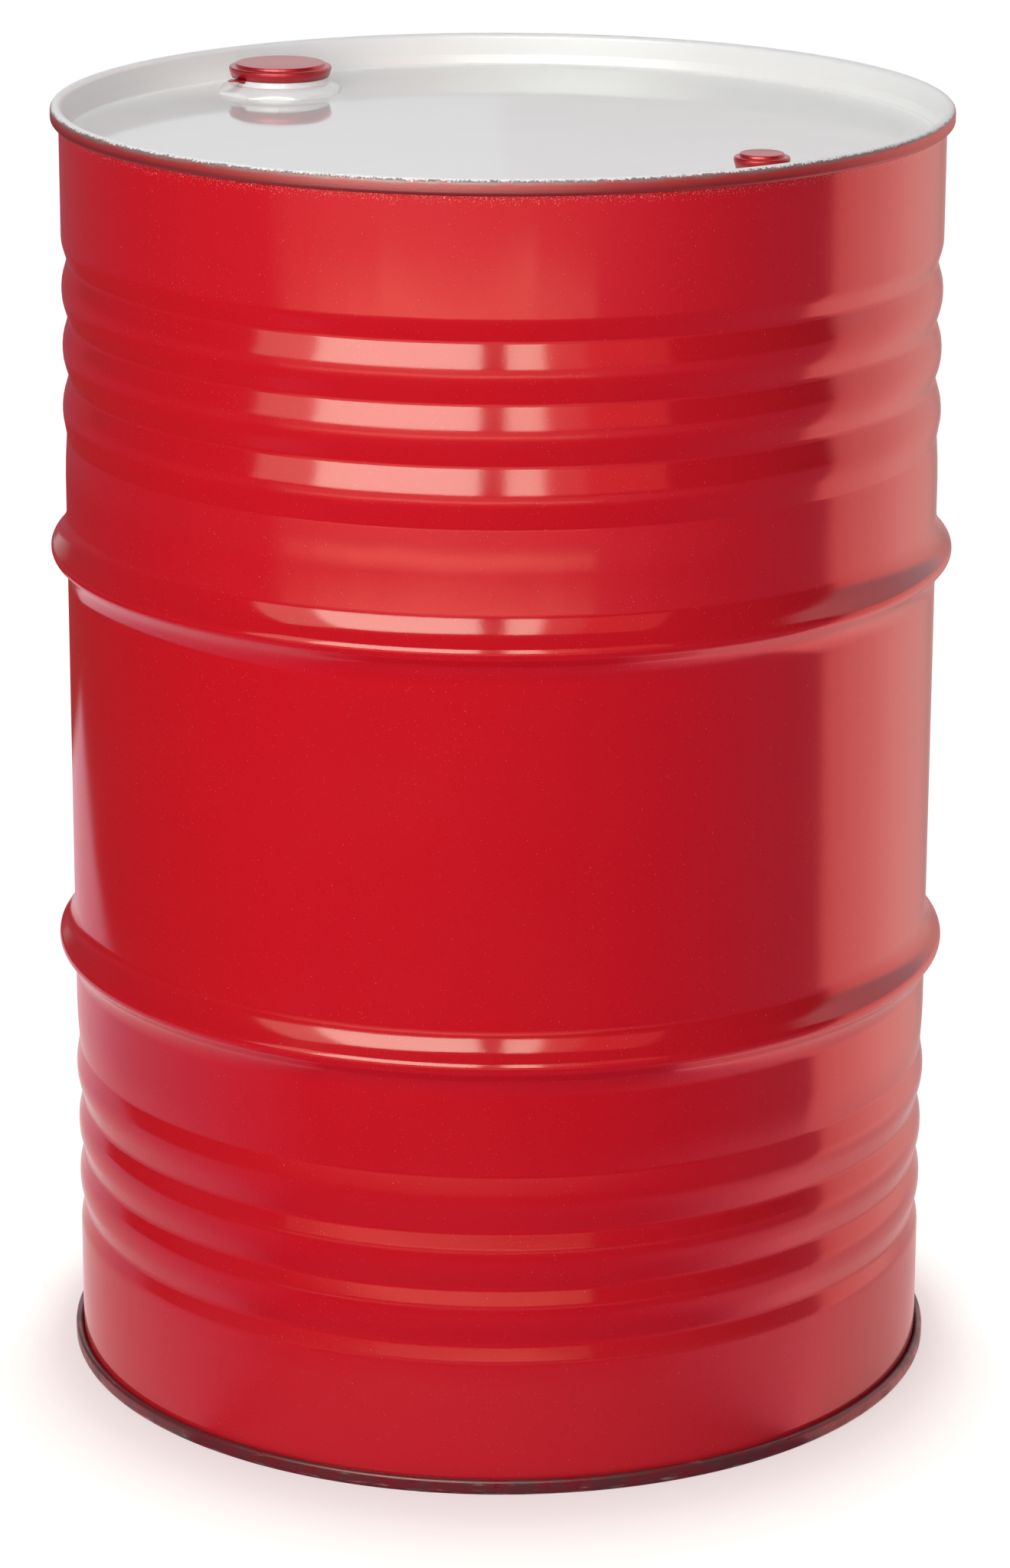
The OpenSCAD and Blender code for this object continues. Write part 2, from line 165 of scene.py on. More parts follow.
def add(tree, kind, inputs=None, **settings):
    """Adds a node with its settings. An input is a value, a socket, or a node by its first output."""
    new = tree.nodes.new("ShaderNode" + kind)
    for name, value in settings.items():
        setattr(new, name, value)
    for name, value in (inputs or {}).items():
        if isinstance(value, bpy.types.Node):
            value = value.outputs[0]
        if isinstance(value, bpy.types.NodeSocket):
            tree.links.new(value, new.inputs[name])
        else:
            new.inputs[name].default_value = value
    return new


def new_finish(name):
    """An empty material and its node tree"""
    finish = bpy.data.materials.new(name)
    finish.use_nodes = True
    finish.node_tree.nodes.clear()
    return finish, finish.node_tree


def hook(crest, side):
    """The shell's hook in a seam, from the wall outwards; side is 1 at the foot and -1 at the top"""
    return [(r, crest + side * depth, bend) for r, depth, bend in (
        (WALL_R, SHELL_CREST, 2 * FOLD - LAND / 2),
        (WALL_R + 4 * FOLD, SHELL_CREST, 2 * FOLD - LAND / 2),
        (WALL_R + 4 * FOLD, SHELL_FOOT, FOLD),
        (WALL_R + 2 * FOLD, SHELL_FOOT, FOLD),
        (WALL_R + 2 * FOLD, SHELL_END, 0))]


def grooves(outermost, way):
    """A run of grooves, by the height of its outermost one and the way in, 1 up or -1 down"""
    corner = GROOVE_DEPTH + GROOVE_R * GROOVE_CUT
    run = [(WALL_R, outermost - way * corner / tan(GROOVE_SLOPE), LEAD_R)]
    for i in range(GROOVES - 1):
        run.append((WALL_R - corner, outermost + way * i * GROOVE_PITCH, GROOVE_R))
        run.append((WALL_R + RIDGE_H + RIDGE_R * GROOVE_CUT, outermost + way * (i + 0.5) * GROOVE_PITCH,
                    RIDGE_R))
    innermost = outermost + way * (GROOVES - 1) * GROOVE_PITCH
    run_out = GROOVE_LAST / tan(GROOVE_OUT)
    return run + [(WALL_R - GROOVE_LAST, innermost, GROOVE_R),
                  (WALL_R, innermost + way * run_out, RUN_OUT_BEND * run_out / tan(GROOVE_OUT / 2))]


def hoop(z):
    """A rolling hoop, given by the height of its crest"""
    peak = HOOP_H + HOOP_CREST_R * (1 / cos(HOOP_SLOPE) - 1)
    half = peak / tan(HOOP_SLOPE)
    return [(WALL_R, z - half, HOOP_ROOT_R), (WALL_R + peak, z, HOOP_CREST_R),
            (WALL_R, z + half, HOOP_ROOT_R)]


wall = bmesh.new()
bent_wire(wall, hook(0, 1)[::-1] + grooves(GROOVE_END, 1) + hoop(HOOP_END) + hoop(HEIGHT - HOOP_END)
          + grooves(HEIGHT - GROOVE_END, -1)[::-1] + hook(HEIGHT, -1))
turn_round(wall, TURN_STEPS)

# Red stoving enamel, sprayed on steel and baked: an even, saturated colour under a smooth gloss,
# with the orange peel of sprayed paint, the slow waves of rolled sheet and the flattened strip of
# the weld in its reflections, and a few dull rubs and hairline scratches from handling.
ENAMEL_RED = "#C20F1D"
RUBBED_RED = "#C8373B"
PAINTED_GLINT = "#E8A79A"
red_enamel, tree = new_finish("red_stoving_enamel")
place = add(tree, "TexCoord").outputs["Object"]
# Waves of the rolled sheet are about 80 mm long
waves = add(tree, "TexNoise", {"Vector": place, "Scale": 12, "Detail": 1})
# Orange peel has lumps of about 2 mm, and the finest grain of the spray is about 0.7 mm
peel = add(tree, "TexNoise", {"Vector": place, "Scale": 450, "Detail": 1})
grain = add(tree, "TexNoise", {"Vector": place, "Scale": 1400, "Detail": 1})
# The weld runs up the wall a quarter turn from both bungs, on the +Y side, and is 4 mm wide, with
# 0.8 mm at each edge over which it fades into the wall
parts = add(tree, "SeparateXYZ", {0: place})
across = add(tree, "Math", {0: parts.outputs["X"]}, operation="ABSOLUTE")
behind = add(tree, "Math", {0: parts.outputs["Y"], 1: 0.0}, operation="GREATER_THAN")
strip = add(tree, "MapRange", {0: across, 1: 1.6 * MM, 2: 2.4 * MM, 3: 1.0, 4: 0.0})
weld = add(tree, "Math", {0: strip, 1: behind}, operation="MULTIPLY")
# Hairlines: lines of noise drawn long across the height, cut to their thin middles
drawn = add(tree, "Mapping", {"Vector": place, "Rotation": (0.5, 0.3, 0.9), "Scale": (9, 90, 40)})
lines = add(tree, "TexNoise", {"Vector": drawn, "Scale": 2.2, "Detail": 0.5})
middle_line = add(tree, "Math", {0: lines, 1: 0.5}, operation="SUBTRACT")
thin = add(tree, "Math", {0: middle_line}, operation="ABSOLUTE")
hairline = add(tree, "MapRange", {0: thin, 1: 0.0, 2: 0.0035, 3: 1.0, 4: 0.0})
patches = add(tree, "TexNoise", {"Vector": place, "Scale": 9, "Detail": 2})
rubbed = add(tree, "MapRange", {0: patches, 1: 0.6, 2: 0.72, 3: 0.0, 4: 1.0})
scratched = add(tree, "Math", {0: hairline, 1: rubbed}, operation="MULTIPLY")
faint = add(tree, "Math", {0: scratched, 1: 0.35}, operation="MULTIPLY")
# The wall turns paler towards its foot, from the lowest groove down, mixed up to a quarter of the way to
# the rubbed red
paler_foot = add(tree, "MapRange", {0: parts.outputs["Z"], 1: 70 * MM, 2: 105 * MM, 3: 0.25, 4: 0.0})
rubs_and_paler_foot = add(tree, "Math", {0: faint, 1: paler_foot}, operation="MAXIMUM")
worn_red = add(tree, "Mix", {0: rubs_and_paler_foot, 6: linear(ENAMEL_RED), 7: linear(RUBBED_RED)}, data_type="RGBA")
# Fine pale specks are painted on the red just below the top seam: painted glints of the spray's grain
# catching the light
glint_band = add(tree, "MapRange", {0: parts.outputs["Z"], 1: HEIGHT - 19 * MM, 2: HEIGHT - 11 * MM, 3: 0.0,
                                 4: 0.16})
glint_grain = add(tree, "Math", {0: grain, 1: glint_band}, operation="ADD")
glint_specks = add(tree, "MapRange", {0: glint_grain, 1: 0.74, 2: 0.8, 3: 0.0, 4: 0.6})
colour = add(tree, "Mix", {0: glint_specks, 6: worn_red.outputs[2], 7: linear(PAINTED_GLINT)}, data_type="RGBA")
gloss = add(tree, "MapRange", {0: patches, 1: 0.35, 2: 0.75, 3: 0.1, 4: 0.15})
wavy = add(tree, "Bump", {"Height": waves, "Distance": 0.3 * MM, "Strength": 1.0})
welded = add(tree, "Bump", {"Height": weld, "Distance": 0.2 * MM, "Strength": 1.0, "Normal": wavy})
peeled = add(tree, "Bump", {"Height": peel, "Distance": 0.012 * MM, "Strength": 1.0, "Normal": welded})
grained = add(tree, "Bump", {"Height": grain, "Distance": 0.004 * MM, "Strength": 1.0, "Normal": peeled})
paint = add(tree, "BsdfPrincipled", {"Base Color": colour.outputs[2], "Roughness": gloss,
                                     "IOR": 1.5, "Normal": grained})
add(tree, "OutputMaterial", {"Surface": paint})

shell = smooth_piece("painted_shell", wall, red_enamel, sheet=SHEET)
stands_for(shell, "shell", "root")

# ---- Bottom head ----
# A pressed panel set up inside the foot of the shell, its rim curled over the shell's hook. It is
# painted with the shell, and its chime is dragged and knocked along floors until it is dull.

BOTTOM_RECESS = 20 * MM
TOP_RECESS = 22 * MM
CHUCK_H = 14.5 * MM
WALL_LEAN = 1.2 * MM
PANEL_BEND = 3 * MM


def head_rim(crest, side, recess, start):
    """A head from its flat panel out through its chuck wall and its curl in the seam"""
    return [(r, crest + side * depth, bend) for r, depth, bend in (
        (start, recess + SHEET / 2, 0),
        (WALL_R - FOLD - WALL_LEAN, recess + SHEET / 2, PANEL_BEND),
        (WALL_R - FOLD, CHUCK_H, PANEL_BEND),
        (WALL_R - FOLD, HEAD_CREST, 3 * FOLD - LAND / 2),
        (WALL_R + 5 * FOLD, HEAD_CREST, 3 * FOLD - LAND / 2),
        (WALL_R + 5 * FOLD, HEAD_FOOT, 2 * FOLD),
        (WALL_R + FOLD, HEAD_FOOT, 2 * FOLD),
        (WALL_R + FOLD, HOOK_CREST, FOLD - LAND / 2),
        (WALL_R + 3 * FOLD, HOOK_CREST, FOLD - LAND / 2),
        (WALL_R + 3 * FOLD, HEAD_END, 0))]


foot = bmesh.new()
bent_wire(foot, head_rim(0, 1, BOTTOM_RECESS, 0))
turn_round(foot, TURN_STEPS)

# The same red enamel, scuffed: dark maroon with dirt, and rubbed to grey steel on the lowest 5 mm,
# in blotches drawn out along the chime.
SCUFFED_RED = "#74181F"
DIRT = "#4A2A2C"
BARE_STEEL = "#8C7872"
scuffed_enamel, tree = new_finish("scuffed_red_enamel")
place = add(tree, "TexCoord").outputs["Object"]
parts = add(tree, "SeparateXYZ", {0: place})
blotches = add(tree, "TexNoise", {"Vector": place, "Scale": 60, "Detail": 4, "Roughness": 0.65})
# Scuffs run along the chime: noise by the distance round it, drawn out eight times, and the height
turn = add(tree, "Math", {0: parts.outputs["Y"], 1: parts.outputs["X"]}, operation="ARCTAN2")
along = add(tree, "Math", {0: turn, 1: WALL_R / 8}, operation="MULTIPLY")
drawn = add(tree, "CombineXYZ", {0: along, 2: parts.outputs["Z"]})
scuffs = add(tree, "TexNoise", {"Vector": drawn, "Scale": 450, "Detail": 3, "Roughness": 0.6})
dirty = add(tree, "MapRange", {0: blotches, 1: 0.42, 2: 0.62, 3: 0.2, 4: 0.9})
painted = add(tree, "Mix", {0: dirty, 6: linear(SCUFFED_RED), 7: linear(DIRT)}, data_type="RGBA")
low = add(tree, "MapRange", {0: parts.outputs["Z"], 1: 0.0, 2: 5 * MM, 3: 0.12, 4: 0.0})
knocks = add(tree, "Math", {0: scuffs, 1: low}, operation="ADD")
bare = add(tree, "MapRange", {0: knocks, 1: 0.62, 2: 0.74, 3: 0.0, 4: 0.75})
colour = add(tree, "Mix", {0: bare, 6: painted.outputs[2], 7: linear(BARE_STEEL)}, data_type="RGBA")
dull = add(tree, "MapRange", {0: blotches, 1: 0.3, 2: 0.7, 3: 0.22, 4: 0.5})
pits = add(tree, "Bump", {"Height": scuffs, "Distance": 0.05 * MM, "Strength": 1.0})
paint = add(tree, "BsdfPrincipled", {"Base Color": colour.outputs[2], "Roughness": dull,
                                     "IOR": 1.5, "Normal": pits})
add(tree, "OutputMaterial", {"Surface": paint})

bottom_head = smooth_piece("painted_bottom_head", foot, scuffed_enamel, sheet=SHEET)
stands_for(bottom_head, "bottom_head", "root")

# ---- Top head ----
# A pressed panel with two eight-sided bosses, each drawn up into a collar round a bung's flange.
# Its chime is rolled up with the shell's, and stands 22 mm over the panel.

PANEL_TOP = HEIGHT - TOP_RECESS
PANEL_MID = PANEL_TOP - SHEET / 2
# The flat of the panel ends at this radius, outside both bosses
PANEL_RING = 274 * MM
BOSS_EDGE_H = 2.6 * MM
BOSS_CROWN_H = 6 * MM
BOSS_CROWN_W = 3 * MM
COLLAR_TOP = 12.4 * MM
COLLAR_T = 0.9 * MM
BOSS_SIDES = 8
# How much each corner of a boss is rounded back
CORNER_CUT = 0.48 * MM

# For each bung: its thread's pitch radius and pitch, the neck's wall, the boss's width from the
# collar to its flats, how far the seal's bead stands outside the collar and its disc inside it, the
# tab's direction, and the steps round a turn. Its middle on X and other radii follow.
BUNGS = {
    "large": dict(pitch_r=29.0675 * MM, pitch=2.309 * MM, neck_t=2.5 * MM, boss_w=8.5 * MM,
                  bead_out=2.2 * MM, disc_in=2.5 * MM, tab=radians(-92), steps=96),
    "small": dict(pitch_r=12.6395 * MM, pitch=1.814 * MM, neck_t=2 * MM, boss_w=7.5 * MM,
                  bead_out=1.9 * MM, disc_in=2 * MM, tab=radians(130), steps=64),
}
for size, bung in BUNGS.items():
    low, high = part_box(size + "_plug")
    bung["x"] = (low.x + high.x) / 2
    bung["neck_r"] = bung["pitch_r"] + bung["neck_t"]
    bung["collar_r"] = bung["neck_r"] + COLLAR_T
    bung["flat_r"] = bung["collar_r"] + bung["boss_w"]

lid = bmesh.new()
bent_wire(lid, head_rim(HEIGHT, -1, TOP_RECESS, PANEL_RING))
turn_round(lid, TURN_STEPS)


def round_r(radius):
    """A circle, as the radius in each direction"""
    return lambda angle: radius


def eight_sided_r(flat_r):
    """An eight-sided outline with a flat square to X and softened corners, in the same way"""
    across = 2 * pi / BOSS_SIDES
    corner = flat_r / cos(across / 2) - CORNER_CUT

    def radius(angle):
        off = (angle + across / 2) % across - across / 2
        return min(flat_r / cos(off), corner)
    return radius


def level_at(height):
    """One height for a whole loop, in the same way"""
    return lambda r: height


def down_boss(bung, drop):
    """Heights on the slope of a bung's boss, by radius, or a little under it by a drop"""
    crown_r = bung["collar_r"] + BOSS_CROWN_W
    slope = (BOSS_CROWN_H - BOSS_EDGE_H) / (bung["flat_r"] - crown_r)
    return lambda r: PANEL_MID + BOSS_CROWN_H - slope * (r - crown_r) - drop


def draw_out(bm, loop, radius_of, height_of, x=0):
    """Draws a loop of edges out into the next one, by its radius in each direction and its height"""
    made = bmesh.ops.extrude_edge_only(bm, edges=loop)["geom"]
    for v in (g for g in made if isinstance(g, bmesh.types.BMVert)):
        angle = atan2(v.co.y, v.co.x - x)
        r = radius_of(angle)
        v.co = (x + r * cos(angle), r * sin(angle), height_of(r))
    return [g for g in made if isinstance(g, bmesh.types.BMEdge)]


def circle_of_edges(bm, radius, height, steps, x=0):
    """A new circle of edges"""
    made = bmesh.ops.create_circle(bm, segments=steps, radius=radius,
                                   matrix=Matrix.Translation((x, 0, height)))["verts"]
    return list(dict.fromkeys(e for v in made for e in v.link_edges))


for bung in BUNGS.values():
    # The collar's mouth, then each step out and down from it to the flat panel
    mid_r = bung["neck_r"] + SHEET / 2
    crown_r = bung["collar_r"] + BOSS_CROWN_W
    flat_r = bung["flat_r"]
    crown = PANEL_MID + BOSS_CROWN_H
    loop = circle_of_edges(lid, mid_r, PANEL_MID + COLLAR_TOP, bung["steps"], bung["x"])
    for radius_of, height_of in (
            (round_r(mid_r), level_at(crown + 2.2 * MM)),
            (round_r(mid_r + 0.1 * MM), level_at(crown + 1.1 * MM)),
            (round_r(mid_r + 0.4 * MM), level_at(crown + 0.4 * MM)),
            (round_r(mid_r + 1.1 * MM), level_at(crown + 0.1 * MM)),
            (round_r(mid_r + 2 * MM), level_at(crown)),
            (round_r(crown_r - 0.6 * MM), level_at(crown)),
            (round_r(crown_r + 0.4 * MM), down_boss(bung, 0.05 * MM)),
            (round_r(crown_r + 1.5 * MM), down_boss(bung, 0)),
            (eight_sided_r(flat_r - 1.7 * MM), down_boss(bung, 0)),
            (eight_sided_r(flat_r - 0.95 * MM), down_boss(bung, 0.08 * MM)),
            (eight_sided_r(flat_r - 0.6 * MM), down_boss(bung, 0.35 * MM)),
            (eight_sided_r(flat_r - 0.5 * MM), down_boss(bung, 0.8 * MM)),
            (eight_sided_r(flat_r - 0.42 * MM), level_at(PANEL_MID + 0.5 * MM)),
            (eight_sided_r(flat_r - 0.2 * MM), level_at(PANEL_MID + 0.12 * MM)),
            (eight_sided_r(flat_r + 0.2 * MM), level_at(PANEL_MID)),
            (eight_sided_r(flat_r + 1.5 * MM), level_at(PANEL_MID))):
        loop = draw_out(lid, loop, radius_of, height_of, bung["x"])
rims = [e for e in lid.edges
        if e.is_boundary and all(abs(v.co.z - PANEL_MID) < 0.001 * MM for v in e.verts)]
bmesh.ops.triangle_fill(lid, edges=rims, use_beauty=True, use_dissolve=False)
bmesh.ops.recalc_face_normals(lid, faces=lid.faces)

# White stoving enamel: a bright, very smooth gloss that mirrors what stands on it. The red of the
# shell is sprayed up over the outside of the chime, rough and thin, and meets the white in a
# speckled line where the crest is worn.
ENAMEL_WHITE = "#F9F8F6"
OVERSPRAY_RED = "#A12A2B"
PAINTED_SHADE_RED = "#7A1A20"
WORN_CREST = "#86706C"
white_enamel, tree = new_finish("white_stoving_enamel")
place = add(tree, "TexCoord").outputs["Object"]
parts = add(tree, "SeparateXYZ", {0: place})
flat = add(tree, "VectorMath", {0: place, 1: (1, 1, 0)}, operation="MULTIPLY")
radius = add(tree, "VectorMath", {0: flat}, operation="LENGTH").outputs["Value"]
# The drops of the spray are drawn about 1.6 mm across to show, and the worn patches are about 15 mm
spatter = add(tree, "TexNoise", {"Vector": place, "Scale": 620, "Detail": 3, "Roughness": 0.6})
blotches = add(tree, "TexNoise", {"Vector": place, "Scale": 70, "Detail": 2})
ragged = add(tree, "MapRange", {0: spatter, 1: 0.25, 2: 0.75, 3: -1.0 * MM, 4: 1.0 * MM})
# Depth below the crest, down the outside of the seam
depth = add(tree, "Math", {0: HEIGHT, 1: parts.outputs["Z"]}, operation="SUBTRACT")
ragged_depth = add(tree, "Math", {0: depth, 1: ragged}, operation="ADD")
outside = add(tree, "Math", {0: radius, 1: WALL_R + 3 * FOLD}, operation="GREATER_THAN")
red_down = add(tree, "MapRange", {0: ragged_depth, 1: 1.2 * MM, 2: 1.8 * MM, 3: 0.0, 4: 1.0})
reddened = add(tree, "Math", {0: red_down, 1: outside}, operation="MULTIPLY")
worn_in = add(tree, "MapRange", {0: ragged_depth, 1: 0.6 * MM, 2: 1.2 * MM, 3: 0.0, 4: 1.0})
worn_out = add(tree, "MapRange", {0: depth, 1: 2 * MM, 2: 4.5 * MM, 3: 1.0, 4: 0.0})
band = add(tree, "Math", {0: worn_in, 1: worn_out}, operation="MULTIPLY")
patchy = add(tree, "MapRange", {0: blotches, 1: 0.35, 2: 0.6, 3: 0.35, 4: 0.95})
crest_worn = add(tree, "Math", {0: band, 1: patchy}, operation="MULTIPLY")
worn = add(tree, "Math", {0: crest_worn, 1: outside}, operation="MULTIPLY")
# Shade is painted in dark red where the seam turns in under itself
painted_shade_under = add(tree, "MapRange", {0: depth, 1: 5 * MM, 2: 7.5 * MM, 3: 0.0, 4: 1.0})
red_coat_and_shade = add(tree, "Mix", {0: painted_shade_under, 6: linear(OVERSPRAY_RED), 7: linear(PAINTED_SHADE_RED)}, data_type="RGBA")
two_coats = add(tree, "Mix", {0: reddened, 6: linear(ENAMEL_WHITE), 7: red_coat_and_shade.outputs[2]},
                data_type="RGBA")
colour = add(tree, "Mix", {0: worn, 6: two_coats.outputs[2], 7: linear(WORN_CREST)}, data_type="RGBA")
# The chuck wall's last millimetres and the crest are duller than the panel, and the seam is gritty
grit = add(tree, "MapRange", {0: radius, 1: WALL_R + 2 * FOLD, 2: WALL_R + 4 * FOLD, 3: 0.0, 4: 1.0})
dull_wall = add(tree, "MapRange", {0: radius, 1: WALL_R - 6 * MM, 2: WALL_R - 2 * MM, 3: 0.06, 4: 0.3})
dull_grit = add(tree, "Math", {0: grit, 1: 0.4}, operation="MULTIPLY")
gloss = add(tree, "Math", {0: dull_wall, 1: dull_grit}, operation="MAXIMUM")
waves = add(tree, "TexNoise", {"Vector": place, "Scale": 16, "Detail": 1})
wavy = add(tree, "Bump", {"Height": waves, "Distance": 0.15 * MM, "Strength": 1.0})
grainy = add(tree, "Bump", {"Height": spatter, "Distance": 0.12 * MM, "Strength": grit, "Normal": wavy})
paint = add(tree, "BsdfPrincipled", {"Base Color": colour.outputs[2], "Roughness": gloss,
                                     "IOR": 1.5, "Normal": grainy})
add(tree, "OutputMaterial", {"Surface": paint})

# The low angle keeps the folds at the edges of the bosses crisp
top_head = smooth_piece("painted_top_head", lid, white_enamel, sheet=SHEET, sharp=radians(24))
stands_for(top_head, "top_head", "root")

# ---- Sealing compound and seat rings ----
# Compound is run into both seams as a paste and dries inside them. Black rubber rings sit between
# the flanges and the head. Both are shut in, and keep their plain shapes.

# Dried compound: a matt grey-brown paste with lumps of about 1.4 mm
COMPOUND_GREY = "#8F8A80"
COMPOUND_DARK = "#7E796F"
compound, tree = new_finish("dried_compound")
place = add(tree, "TexCoord").outputs["Object"]
lumps = add(tree, "TexNoise", {"Vector": place, "Scale": 700, "Detail": 2})
shade = add(tree, "ValToRGB", {0: lumps})
shade.color_ramp.elements[0].color = linear(COMPOUND_DARK)
shade.color_ramp.elements[1].color = linear(COMPOUND_GREY)
bumps = add(tree, "Bump", {"Height": lumps, "Distance": 0.1 * MM})
paste = add(tree, "BsdfPrincipled", {"Base Color": shade, "Roughness": 0.7, "Normal": bumps})
add(tree, "OutputMaterial", {"Surface": paste})

# Moulded black rubber: almost black, with a soft bloom that lightens it in patches of about 5 mm
RUBBER_BLACK = "#1E1E1F"
RUBBER_BLOOM = "#333336"
rubber, tree = new_finish("moulded_black_rubber")
place = add(tree, "TexCoord").outputs["Object"]
bloom = add(tree, "TexNoise", {"Vector": place, "Scale": 180, "Detail": 3})
shade = add(tree, "ValToRGB", {0: bloom})
shade.color_ramp.elements[0].color = linear(RUBBER_BLACK)
shade.color_ramp.elements[1].color = linear(RUBBER_BLOOM)
bumps = add(tree, "Bump", {"Height": bloom, "Distance": 0.05 * MM})
skin = add(tree, "BsdfPrincipled", {"Base Color": shade, "Roughness": 0.6, "Normal": bumps})
add(tree, "OutputMaterial", {"Surface": skin})


def finish_node(node, finish):
    """Gives a CAD node's object its finish"""
    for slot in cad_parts[node].material_slots:
        slot.material = finish


for node in ("top_seam_compound", "bottom_seam_compound"):
    finish_node(node, compound)
for size in BUNGS:
    finish_node(size + "_seat_ring", rubber)

# ---- Flanges ----
# Steel rings with an eight-sided base locked in the boss and a neck inside the head's collar. The
# neck's lip is rolled out over the collar, and the bore has a parallel pipe thread.

NECK_H = 13.2 * MM
LIP_H = 0.8 * MM
EDGE_ROUND = 0.3 * MM
BASE_TOP = 1.1 * MM
BASE_PLAY = 0.3 * MM
# A pipe thread's sharp height and rounding, as shares of its pitch
THREAD_SHARP = 0.960491
THREAD_ROUND = 0.137329
# Room between the threads of plug and flange, on each side
THREAD_PLAY = 0.04 * MM
# Length at each end of a thread that is cut away for the chamfer
CHAMFER = 0.9 * MM


def thread(bm, bung, play, low, high):
    """A screw thread about the Z axis, as a tube cut level at both ends; gives its two end loops"""
    pitch = bung["pitch"]
    half = THREAD_SHARP * pitch / 2
    first = floor(low / pitch) - 2
    last = ceil(high / pitch) + 1
    corners = []
    for i in range(first, last):
        corners.append((bung["pitch_r"] + play - half, i * pitch, THREAD_ROUND * pitch))
        corners.append((bung["pitch_r"] + play + half, (i + 0.5) * pitch, THREAD_ROUND * pitch))
    bent_wire(bm, corners, step=radians(42))
    steps = bung["steps"]
    bmesh.ops.spin(bm, geom=bm.verts[:] + bm.edges[:], cent=(0, 0, 0), axis=(0, 0, 1), angle=2 * pi,
                   steps=steps, dvec=(0, 0, pitch / steps))
    bmesh.ops.remove_doubles(bm, verts=bm.verts, dist=0.004 * MM)
    for z, away in ((low, -1), (high, 1)):
        bmesh.ops.bisect_plane(bm, geom=bm.verts[:] + bm.edges[:] + bm.faces[:], dist=0.0001 * MM,
                               plane_co=(0, 0, z), plane_no=(0, 0, away), clear_outer=True)
    return [[e for e in bm.edges if e.is_boundary and all(abs(v.co.z - z) < 0.001 * MM for v in e.verts)]
            for z in (low, high)]


def to_its_place(bm, bung):
    """Turns a mesh made round the Z axis over z=0 to face outwards, and moves it over the panel at its
    bung
    """
    bmesh.ops.recalc_face_normals(bm, faces=bm.faces)
    bmesh.ops.translate(bm, vec=(bung["x"], 0, PANEL_TOP), verts=bm.verts)


# Bright zinc plating on steel: a pale, slightly bluish metal, with clouds of about 4 mm
ZINC = "#C3C5C6"
ZINC_CLOUD = "#AEB0B2"
zinc, tree = new_finish("bright_zinc_plate")
place = add(tree, "TexCoord").outputs["Object"]
clouds = add(tree, "TexNoise", {"Vector": place, "Scale": 260, "Detail": 3})
tone = add(tree, "ValToRGB", {0: clouds})
tone.color_ramp.elements[0].color = linear(ZINC_CLOUD)
tone.color_ramp.elements[1].color = linear(ZINC)
haze = add(tree, "MapRange", {0: clouds, 1: 0.3, 2: 0.7, 3: 0.22, 4: 0.4})
plate = add(tree, "BsdfPrincipled", {"Base Color": tone, "Metallic": 1.0, "Roughness": haze})
add(tree, "OutputMaterial", {"Surface": plate})

for size, bung in BUNGS.items():
    ring = bmesh.new()
    bore_r = bung["pitch_r"] + bung["pitch"] / 2
    foot_loop, top_loop = thread(ring, bung, THREAD_PLAY, -SHEET + CHAMFER, NECK_H - CHAMFER)
    mouth = circle_of_edges(ring, bore_r, NECK_H, bung["steps"])
    bmesh.ops.bridge_loops(ring, edges=top_loop + mouth)
    base_r = bung["flat_r"] - SHEET - BASE_PLAY
    loop = mouth
    for radius_of, height in (
            (round_r(bung["collar_r"] - EDGE_ROUND), NECK_H),
            (round_r(bung["collar_r"]), NECK_H - EDGE_ROUND),
            (round_r(bung["collar_r"]), NECK_H - LIP_H),
            (round_r(bung["neck_r"]), NECK_H - LIP_H),
            (round_r(bung["neck_r"]), BASE_TOP),
            (eight_sided_r(base_r - EDGE_ROUND), BASE_TOP),
            (eight_sided_r(base_r), BASE_TOP - EDGE_ROUND),
            (eight_sided_r(base_r), -SHEET),
            (round_r(bore_r), -SHEET)):
        loop = draw_out(ring, loop, radius_of, level_at(height))
    bmesh.ops.bridge_loops(ring, edges=loop + foot_loop)
    to_its_place(ring, bung)
    flange = smooth_piece(size + "_threaded_flange", ring, zinc, sharp=radians(35))
    stands_for(flange, size + "_flange", "root")

# ---- Plugs ----
# Pressed steel cups with a thread outside and four lugs inside for a key, zinc plated. A rubber
# ring under the rim is squeezed on the flange's lip.

RING_TOP = 14.6 * MM
RIM_T = 1.5 * MM
PLUG_T = 1.5 * MM
PLUG_TOP = RING_TOP + RIM_T
PLUG_H = 17 * MM
PLUG_FOOT = PLUG_TOP - PLUG_H
RING_PLAY = 0.3 * MM
RING_ROUND = 0.4 * MM
LUGS = 4
# How far the lugs stand in from the wall, and their width, as a part of the cup's radius
LUG_REACH = 0.3
LUG_DROP = 3 * MM
LUG_ROUND = 0.6 * MM
RIM_ROUND = 0.45 * MM

